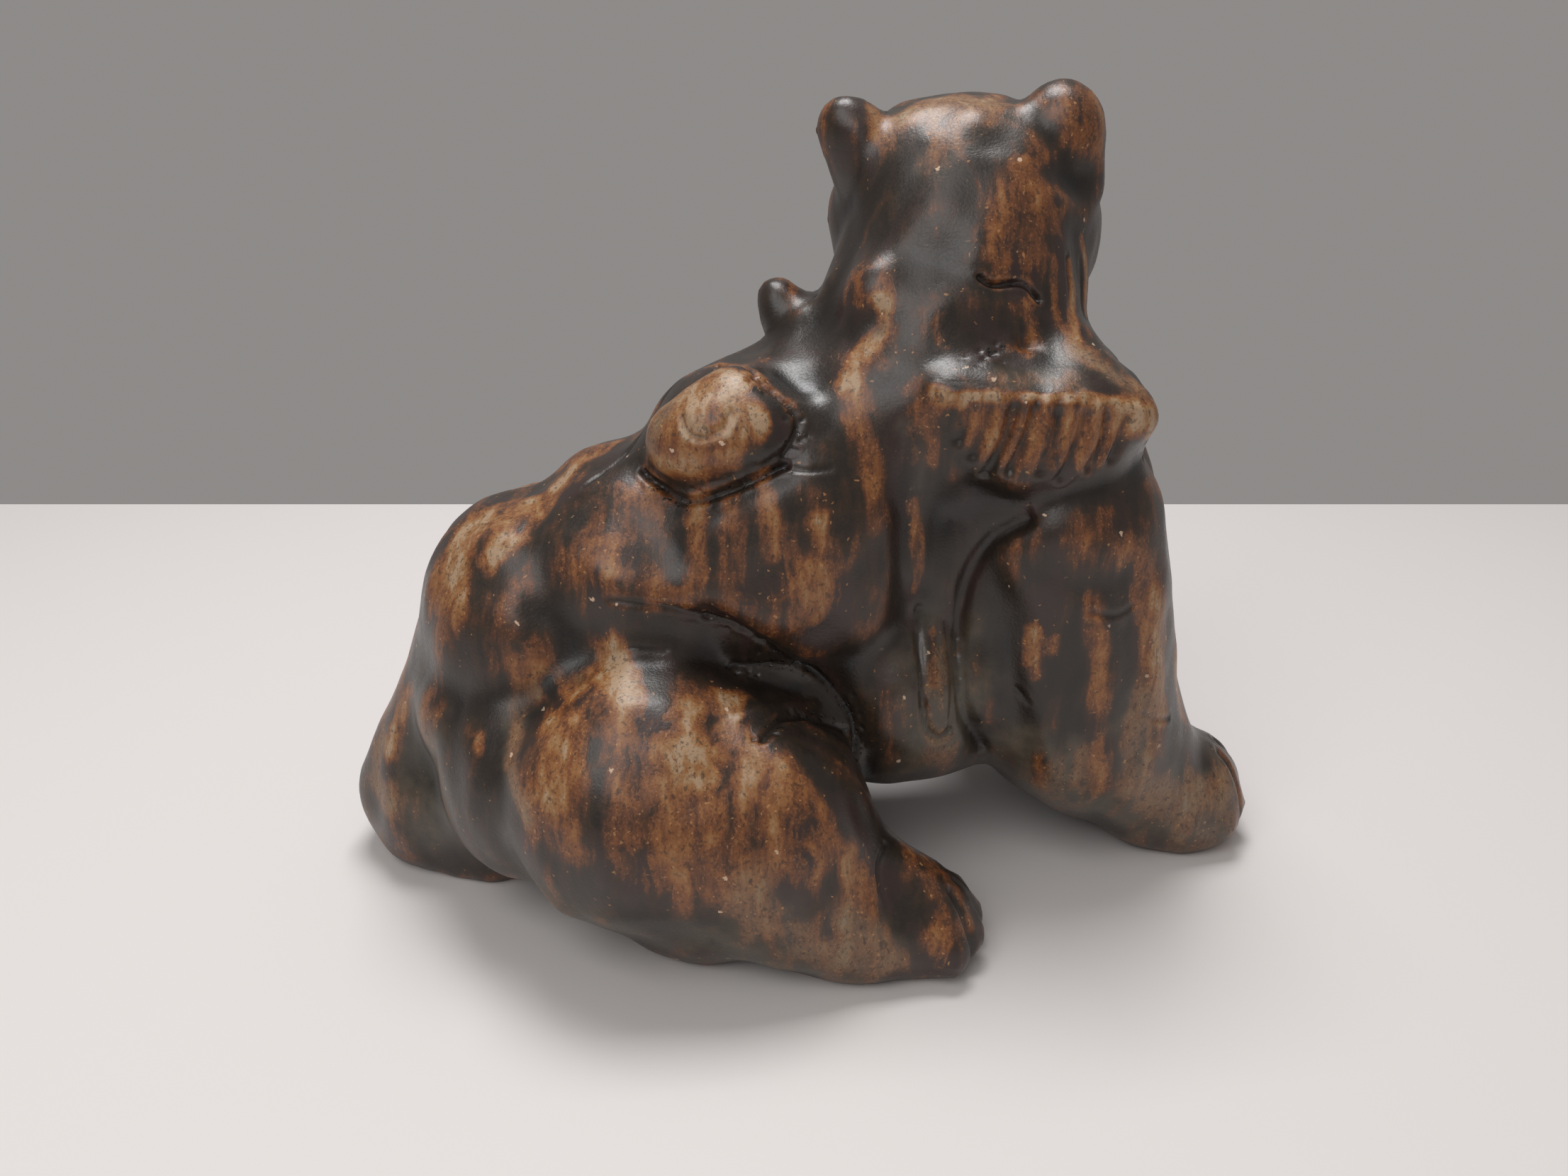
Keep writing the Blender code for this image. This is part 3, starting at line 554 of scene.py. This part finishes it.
class Sock:
    """A shader socket that takes part in Python expressions."""

    def __init__(self, nodes: "NodeBench", socket: bpy.types.NodeSocket) -> None:
        """Wrap a socket of a node tree."""
        self.nodes = nodes
        self.socket = socket

    def _math(self, operation: str, *values: "Sock | float") -> "Sock":
        """Add a Math node on these values."""
        return self.nodes.add("ShaderNodeMath", {"operation": operation}, dict(enumerate(values)))

    def __add__(self, other: "Sock | float") -> "Sock":
        """Add."""
        return self._math("ADD", self, other)

    def __radd__(self, other: float) -> "Sock":
        """Add to a number."""
        return self._math("ADD", other, self)

    def __sub__(self, other: "Sock | float") -> "Sock":
        """Subtract."""
        return self._math("SUBTRACT", self, other)

    def __rsub__(self, other: float) -> "Sock":
        """Subtract from a number."""
        return self._math("SUBTRACT", other, self)

    def __mul__(self, other: "Sock | float") -> "Sock":
        """Multiply."""
        return self._math("MULTIPLY", self, other)

    def __rmul__(self, other: float) -> "Sock":
        """Multiply a number."""
        return self._math("MULTIPLY", other, self)

    def step(self, low: float, high: float) -> "Sock":
        """Rise smoothly from 0 at `low` to 1 at `high`, or fall where `low` is the larger."""
        ends = (low, high, 0.0, 1.0) if low < high else (high, low, 1.0, 0.0)
        settings = {"interpolation_type": "SMOOTHSTEP"}
        return self.nodes.add("ShaderNodeMapRange", settings, {0: self, **dict(zip((1, 2, 3, 4), ends))})


EVEN: Spot = (1.0, 1.0, 1.0)


@dataclass(frozen=True)
class Pattern:
    """A noise: its scale in waves per metre, its detail, and how it is squeezed along X, Y and Z."""

    scale: float
    detail: float
    squeeze: Spot = EVEN


class NodeBench:
    """Adds nodes to a material's tree."""

    def __init__(self, material: bpy.types.Material) -> None:
        """Open a material's node tree."""
        material.use_nodes = True
        self.tree = material.node_tree
        self.shader = self.tree.nodes["Principled BSDF"]

    def add(
        self,
        kind: str,
        settings: dict[str, object],
        inputs: dict[int | str, object],
        output: int | str = 0,
    ) -> Sock:
        """Add a node.

        Args:
            kind: The node's type.
            settings: Properties to set before its sockets; "stops" holds a ramp's positions and colours.
            inputs: Values or wrapped sockets by input index or name.
            output: The output to return.

        Returns:
            The wrapped output socket.
        """
        node = self.tree.nodes.new(kind)
        for name, value in settings.items():
            if name == "stops":
                ramp = node.color_ramp
                while len(ramp.elements) < len(value):
                    ramp.elements.new(1.0)
                for element, (position, colour) in zip(ramp.elements, value):
                    element.position = position
                    element.color = (*colour, 1.0)
            else:
                setattr(node, name, value)
        for name, value in inputs.items():
            self.plug(value, node.inputs[name])
        return Sock(self, node.outputs[output])

    def plug(self, value: object, socket: bpy.types.NodeSocket) -> None:
        """Link a wrapped socket to an input, or set the input's value."""
        if isinstance(value, Sock):
            self.tree.links.new(value.socket, socket)
        else:
            socket.default_value = value

    def grain(self, vector: Sock, pattern: Pattern, output: int | str = 0) -> Sock:
        """Sample a pattern's noise, from 0 to 1."""
        if pattern.squeeze != EVEN:
            vector = self.add("ShaderNodeMapping", {}, {"Vector": vector, "Scale": pattern.squeeze})
        inputs = {"Vector": vector, "Scale": pattern.scale, "Detail": pattern.detail}
        return self.add("ShaderNodeTexNoise", {}, inputs, output)

    def moved(self, vector: Sock, pattern: Pattern, reach: float) -> Sock:
        """Move coordinates unevenly, by up to the reach in metres."""
        inputs = {0: self.grain(vector, pattern, "Color"), 1: (reach,) * 3, 2: vector}
        return self.add("ShaderNodeVectorMath", {"operation": "MULTIPLY_ADD"}, inputs)

    def channel(self, colour: Sock, index: int) -> Sock:
        """Take the red, green or blue of a colour."""
        return self.add("ShaderNodeSeparateColor", {}, {0: colour}, index)

    def cells(self, vector: Sock, scale: float, output: str = "Distance") -> Sock:
        """Sample scattered cells."""
        return self.add("ShaderNodeTexVoronoi", {}, {"Vector": vector, "Scale": scale}, output)

    def mixed(self, amount: Sock | float, first: object, second: object) -> Sock:
        """Mix two colours."""
        return self.add("ShaderNodeMix", {"data_type": "RGBA"}, {0: amount, 6: first, 7: second}, 2)


@dataclass(frozen=True)
class RunningGlaze:
    """An iron glaze that pools brown-black and breaks to rust, ochre and tan where it runs thin."""

    name: str = "running_glaze"
    stops: tuple[tuple[float, Spot], ...] = (
        (0.0, (0.015, 0.011, 0.009)),
        (0.25, (0.027, 0.018, 0.012)),
        (0.38, (0.048, 0.025, 0.014)),
        (0.43, (0.078, 0.032, 0.015)),
        (0.52, (0.130, 0.047, 0.019)),
        (0.63, (0.200, 0.070, 0.022)),
        (0.75, (0.275, 0.112, 0.034)),
        (0.88, (0.320, 0.170, 0.070)),
        (1.0, (0.40, 0.265, 0.16)),
    )
    veil: Tint = (0.145, 0.125, 0.090, 1.0)
    plum: Tint = (0.040, 0.022, 0.019, 1.0)
    salt: Tint = (0.50, 0.25, 0.10, 1.0)
    pepper: Tint = (0.026, 0.013, 0.009, 1.0)
    chip: Tint = (0.66, 0.47, 0.33, 1.0)
    # Near-black of the pin-holes, also used for the painted shade in creases and hollows.
    pit: Tint = (0.006, 0.005, 0.004, 1.0)
    coat: float = 0.15
    coat_roughness: float = 0.3
    satin: float = 0.33
    wander: Pattern = Pattern(140.0, 3.0)
    wander_reach: float = 3.5 * MM
    jitter: Pattern = Pattern(1500.0, 2.0)
    jitter_reach: float = 1.1 * MM
    streaks: Pattern = Pattern(300.0, 4.0, (1.0, 0.4, 0.13))
    threads: Pattern = Pattern(900.0, 5.0, (1.0, 0.5, 0.13))
    mottle: Pattern = Pattern(420.0, 6.0)
    crumb: Pattern = Pattern(2600.0, 2.0)
    murk: Pattern = Pattern(150.0, 3.0, (1.0, 1.0, 0.4))
    hole_scale: float = 1400.0
    relief_strength: float = 0.55
    relief_height: float = 0.3 * MM

    def made(self) -> bpy.types.Material:
        """Build the material.

        Returns:
            The glaze. It reads thinness, veil and hollows from the skin's "glaze" attribute, and pin-holes
            from the attribute's alpha. It darkens the hollows towards near-black as painted shade.
        """
        material = bpy.data.materials.new(self.name)
        bench = NodeBench(material)
        spot = bench.add("ShaderNodeTexCoord", {}, {}, "Object")
        painted = bench.add("ShaderNodeAttribute", {"attribute_name": "glaze"}, {}, "Color")
        boiled = bench.add("ShaderNodeAttribute", {"attribute_name": "glaze"}, {}, "Alpha")
        thin, veiled, hollow = (bench.channel(painted, index) for index in range(3))
        shift = bench.moved(spot, self.wander, self.wander_reach)
        ragged = bench.moved(spot, self.jitter, self.jitter_reach)
        streaks = bench.grain(shift, self.streaks) - 0.5
        threads = bench.grain(shift, self.threads) - 0.5
        mottle = bench.grain(shift, self.mottle) - 0.5
        crumb = bench.grain(spot, self.crumb) - 0.5
        unrest = streaks * 1.25 + threads * 0.9 + mottle * 0.6 + crumb * 0.25
        level = thin + unrest * (thin * 0.9 + 0.25)
        broken = level.step(0.41, 0.5)
        colour = bench.add("ShaderNodeValToRGB", {"stops": self.stops}, {0: level})
        murk = bench.grain(shift, self.murk).step(0.5, 0.66) * (1 - broken) * 0.8
        colour = bench.mixed(murk, colour, self.plum)
        colour = bench.mixed(veiled * (mottle * 1.2 + 0.62), colour, self.veil)
        colour = self.speckled(bench, spot, ragged, colour, broken, level)
        lot = bench.channel(bench.cells(spot, self.hole_scale, "Color"), 1)
        holes = bench.cells(spot, self.hole_scale).step(0.42, 0.3)
        holes = holes * (boiled * 0.7 + lot * 0.6).step(0.95, 1.0)
        # Painted shade: creases and hollows darkened towards near-black, beyond the pooled glaze's own
        # colour.
        crease_shade = hollow.step(0.45, 1.2) * 0.7
        colour = bench.mixed(crease_shade, colour, self.pit)
        colour = bench.mixed(holes, colour, self.pit)
        bench.plug(colour, bench.shader.inputs["Base Color"])
        roughness = level * 0.1 + crumb * 0.25 + mottle * 0.15 + self.satin
        bench.plug(roughness, bench.shader.inputs["Roughness"])
        relief = crumb * 0.22 + mottle * 0.3 + broken * -0.1 - holes * 0.8
        inputs = {"Strength": self.relief_strength, "Distance": self.relief_height, "Height": relief}
        bench.plug(bench.add("ShaderNodeBump", {}, inputs), bench.shader.inputs["Normal"])
        bench.shader.inputs["Coat Weight"].default_value = self.coat
        bench.shader.inputs["Coat Roughness"].default_value = self.coat_roughness
        return material

    def speckled(
        self,
        bench: NodeBench,
        spot: Sock,
        ragged: Sock,
        colour: Sock,
        broken: Sock,
        level: Sock,
    ) -> Sock:
        """Strew pale and dark grains over a colour.

        Args:
            bench: The material's nodes.
            spot: Object coordinates.
            ragged: The same coordinates, unevenly moved on the scale of a grain.
            colour: The colour to strew over.
            broken: Where the glaze is broken to rust.
            level: How thin it is.

        Returns:
            The colour with its grains.
        """
        for scale, low, high, tint, amount in (
            (2300.0, 0.57, 0.65, self.pepper, 0.4),
            (3100.0, 0.58, 0.64, self.salt, 0.22),
            (1300.0, 0.61, 0.67, self.pepper, 0.55),
        ):
            grains = bench.grain(spot, Pattern(scale, 2.0, (1.0, 1.0, 0.7))).step(low, high)
            colour = bench.mixed(grains * broken * amount, colour, tint)
        for scale, size, share, tint, where in (
            (1100.0, 0.2, 0.86, self.salt, broken * 0.6),
            (900.0, 0.16, 0.76, self.salt, level.step(0.16, 0.34) * 0.65),
            (270.0, 0.085, 0.72, self.chip, level.step(0.1, 0.3) * 0.9),
        ):
            kind = bench.channel(bench.cells(ragged, scale, "Color"), 0)
            dots = bench.cells(ragged, scale).step(size * 1.25, size * 0.8) * kind.step(share, share + 0.04)
            colour = bench.mixed(dots * where, colour, tint)
        return colour


@dataclass(frozen=True)
class Paw:
    """A paw's middle and radius in millimetres, and the way it points in degrees left of +X."""

    middle: Spot
    radius: float
    heading: float
    gaps: tuple[float, ...] = (-40.0, 0.0, 40.0)
    front: tuple[tuple[float, float], ...] = ((0.62, 1.45), (0.98, 1.0), (1.12, 0.4))
    force: float = 0.9

    def spot(self, turn: float, out: float, up: float) -> Spot:
        """Give a point so many of the paw's radii out from its middle and up from the table."""
        x, y, _ = self.middle
        reach = out * self.radius
        return x + reach * math.cos(turn), y + reach * math.sin(turn), up * self.radius

    def toe_marks(self) -> Iterator[Mark]:
        """Yield the cuts between the toes, from the top of the paw down its front."""
        for gap in self.gaps:
            turn = math.radians(self.heading + gap)
            path = tuple(self.spot(turn, out, up) for out, up in self.front)
            yield Mark(Tool.LOCK, path, False, self.force)


PAWS: tuple[Paw, ...] = (
    Paw((20, -19.5, 6), 9.2, 0),
    Paw((17, 49, 6), 9.2, 12),
    Paw((67, 13.5, 7), 11.8, 6),
    Paw((60, 40, 7), 11.8, 14),
)


@dataclass
class Bear:
    """The figurine: its finer skin, its marks and its glaze."""

    grain: float = 1.12 * MM
    weld: float = 0.001 * MM
    softening: int = 5
    softness: float = 0.7
    cut_zone: float = 1.5 * MM
    cut_splits: int = 2
    seed: int = 7
    lumps: tuple[tuple[Spot, float, float], ...] = (((8, 8, 13), 0.85, 3.0), ((4.5, 4.5, 7), 0.3, 9.0))
    folds: tuple[Mark, ...] = FOLDS
    paws: tuple[Paw, ...] = PAWS
    breast_locks: tuple[float, ...] = (1.0, 5.0, 8.5, 12.5, 16.0, 20.0, 23.5, 27.0, 31.0)
    runs: tuple[Run, ...] = RUNS
    near_rounds: int = 5
    near_depth: float = 0.09 * MM
    near_gain: float = 0.14
    hollow_limit: float = 0.4
    wide_rounds: int = 40
    wide_depth: float = 0.7 * MM
    wide_gain: float = 0.1
    base_thin: float = 0.2
    edge_size: Spot = (3.5, 3.5, 9.0)
    edge_share: float = 0.7
    edge_seed: float = 21.0
    pit_zone: float = 1.5 * MM
    pit_reach: float = 4.0 * MM
    glaze: RunningGlaze = field(default_factory=RunningGlaze)

    def rough(self, solid: bpy.types.Object) -> bpy.types.Object:
        """Copy the solid and fuse it again into a finer, even skin.

        Args:
            solid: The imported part's own object.

        Returns:
            The smooth skin, not yet marked.
        """
        bpy.ops.object.select_all(action="DESELECT")
        piece = solid.copy()
        piece.data = solid.data.copy()
        piece.parent = None
        for tag in [key for key in piece.keys() if key.startswith("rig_")]:
            del piece[tag]
        piece.name = "bear_skin"
        bpy.context.scene.collection.objects.link(piece)
        bpy.context.view_layer.objects.active = piece
        piece.select_set(True)
        bpy.ops.object.mode_set(mode="EDIT")
        bpy.ops.mesh.select_all(action="SELECT")
        bpy.ops.mesh.remove_doubles(threshold=self.weld)
        bpy.ops.object.mode_set(mode="OBJECT")
        fuse = piece.modifiers.new("fuse", "REMESH")
        fuse.mode = "VOXEL"
        fuse.voxel_size = self.grain
        soften = piece.modifiers.new("soften", "SMOOTH")
        soften.factor = self.softness
        soften.iterations = self.softening
        for modifier in ("fuse", "soften"):
            bpy.ops.object.modifier_apply(modifier=modifier)
        bpy.ops.object.shade_smooth()
        return piece

    def marks(self) -> list[Mark]:
        """Give all the marks: the folds, the locks across the breast and the cuts between the toes."""
        breast = []
        for index, y in enumerate(self.breast_locks):
            path = (51.5, y, 79.5), (53, y - 0.6, 75.5), (53.5, y - 1.4, 72 - 2 * (index % 2))
            breast.append(Mark(Tool.LOCK, path, False, 0.8))
        return [*self.folds, *breast, *(mark for paw in self.paws for mark in paw.toe_marks())]

    def refine(self, piece: bpy.types.Object) -> None:
        """Split the skin's faces near the folds, so that thin cuts stay crisp.

        Args:
            piece: The smooth skin.
        """
        skin = Skin(piece.data)
        chosen = np.zeros(len(skin.points), bool)
        for mark in self.marks():
            if mark.tool.width > self.cut_zone:
                continue
            for path in sides(mark):
                near, away = skin.distance(skin.route(path), self.cut_zone)
                chosen[near[away < self.cut_zone]] = True
        bpy.ops.object.mode_set(mode="EDIT")
        bpy.ops.mesh.select_mode(type="FACE")
        bpy.ops.mesh.select_all(action="DESELECT")
        bpy.ops.object.mode_set(mode="OBJECT")
        picked = [any(chosen[list(face.vertices)]) for face in piece.data.polygons]
        piece.data.polygons.foreach_set("select", picked)
        bpy.ops.object.mode_set(mode="EDIT")
        bpy.ops.mesh.subdivide(number_cuts=self.cut_splits, smoothness=0)
        bpy.ops.object.mode_set(mode="OBJECT")

    def carve(self, skin: Skin) -> None:
        """Give the skin its hand-modelled unevenness, cut its folds and locks and prick its pin-holes."""
        for size, depth, place in self.lumps:
            skin.dent(size, depth, place)
        dice = random.Random(self.seed)
        for mark in self.marks():
            skin.cut(mark)
            if mark.pitted:
                skin.pit(mark, dice)
        skin.finish()

    def paint(self, skin: Skin) -> None:
        """Store how thin, how veiled, how hollow and how boiled the glaze is at each point."""
        near = skin.hollow(self.near_rounds) / self.near_depth
        wide = skin.hollow(self.wide_rounds) / self.wide_depth
        thin = self.base_thin + self.wide_gain * np.clip(-wide, -1, 1)
        veil, boiled = np.zeros(len(thin)), np.zeros(len(thin))
        ragged = 1 + self.edge_share * skin.unevenness(self.edge_size, self.edge_seed)
        for run in self.runs:
            for path in sides(run):
                near_run, away = skin.distance(skin.route(path), 2 * run.width * MM)
                cover = np.exp(-((away / (run.width * MM * ragged[near_run])) ** 3)) * run.force
                thin[near_run] += (run.tone.thin - thin[near_run]) * cover
                veil[near_run] += (run.tone.veil - veil[near_run]) * cover
        for mark in self.marks():
            for path in sides(mark) if mark.pitted else ():
                near_cut, away = skin.distance(skin.route(path), self.pit_reach)
                boiled[near_cut] = np.maximum(boiled[near_cut], np.exp(-((away / self.pit_zone) ** 2)))
        thin += self.near_gain * np.clip(-near, -self.hollow_limit, 1)
        # Hollowness of the creases, which the glaze turns into painted shade.
        hollow = skin.smoothed(np.clip(near, 0, 1), 1).ravel()
        layers = np.clip(np.stack((thin, veil, hollow, boiled), 1), 0, 1)
        attribute = skin.mesh.attributes.new("glaze", "FLOAT_COLOR", "POINT")
        attribute.data.foreach_set("color", layers.astype(np.float32).ravel())

    def build(self, solid: bpy.types.Object) -> bpy.types.Object:
        """Build the dressed bear over its solid.

        Args:
            solid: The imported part's own object.

        Returns:
            The finished piece.
        """
        piece = self.rough(solid)
        self.refine(piece)
        self.carve(Skin(piece.data))
        self.paint(Skin(piece.data))
        piece.data.materials.clear()
        piece.data.materials.append(self.glaze.made())
        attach(piece, "root")
        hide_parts("bear")
        return piece


@dataclass(frozen=True)
class Lamp:
    """A soft area lamp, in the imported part's metres."""

    name: str
    at: Spot
    size: float
    watts: float
    aim: Spot = (0.0, 0.0, 0.05)

    def hang(self) -> None:
        """Hang the lamp, aimed at the middle of the bear."""
        bpy.ops.object.light_add(type="AREA", location=self.at)
        lamp = bpy.context.object
        lamp.name = self.name
        lamp.data.size = self.size
        lamp.data.energy = self.watts
        lamp.rotation_mode = "QUATERNION"
        lamp.rotation_quaternion = (Vector(self.aim) - Vector(self.at)).to_track_quat("-Z", "Y")


@dataclass(frozen=True)
class Studio:
    """The table, the lamps and the camera."""

    table: Tint = (0.80, 0.765, 0.75, 1.0)
    table_roughness: float = 0.6
    table_edge: float = 184.0
    table_size: float = 4.0
    sky: float = 0.27
    sky_tint: Tint = (1.0, 0.955, 0.93, 1.0)
    camera_at: Spot = (0.0, -167.4, 121.6)
    pitch: float = 23.0
    lens: float = 28.1
    sensor: float = 36.0
    near_clip: float = 0.005
    lamps: tuple[Lamp, ...] = (
        Lamp("ceiling_back", (-0.03, 0.13, 0.62), 0.26, 2.3),
        Lamp("ceiling_front", (-0.25, -0.45, 0.6), 0.5, 1.85),
    )

    def lay_table(self) -> None:
        """Lay the plain pale table top, with its far edge where the photograph's is."""
        edge = BENCH.place((0, self.table_edge, 0)).y
        bpy.ops.mesh.primitive_plane_add(size=self.table_size, location=(0, edge - self.table_size / 2, 0))
        top = bpy.context.object
        top.name = "table_top"
        material = bpy.data.materials.new("pale_table")
        bench = NodeBench(material)
        bench.shader.inputs["Base Color"].default_value = self.table
        bench.shader.inputs["Roughness"].default_value = self.table_roughness
        top.data.materials.append(material)

    def light(self) -> None:
        """Light the world evenly and hang the lamps."""
        world = bpy.data.worlds.new("room")
        bpy.context.scene.world = world
        world.use_nodes = True
        inputs = world.node_tree.nodes["Background"].inputs
        inputs["Strength"].default_value = self.sky
        inputs["Color"].default_value = self.sky_tint
        for lamp in self.lamps:
            lamp.hang()

    def set_camera(self) -> None:
        """Stand the camera where the photograph was taken."""
        bpy.ops.object.camera_add(location=BENCH.place(self.camera_at))
        camera = bpy.context.object
        camera.rotation_euler = math.radians(90 - self.pitch), 0, 0
        camera.data.lens = self.lens
        camera.data.sensor_width = self.sensor
        camera.data.clip_start = self.near_clip
        bpy.context.scene.camera = camera


def main() -> None:
    """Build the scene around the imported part."""
    logging.basicConfig(level=logging.INFO)
    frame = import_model()
    bpy.context.scene.view_settings.view_transform = "Standard"
    studio = Studio()
    studio.set_camera()
    studio.lay_table()
    studio.light()
    piece = Bear().build(frame["nodes"]["bear"])
    LOG.info("%s has %d faces", piece.name, len(piece.data.polygons))


if __name__ == "__main__":
    main()
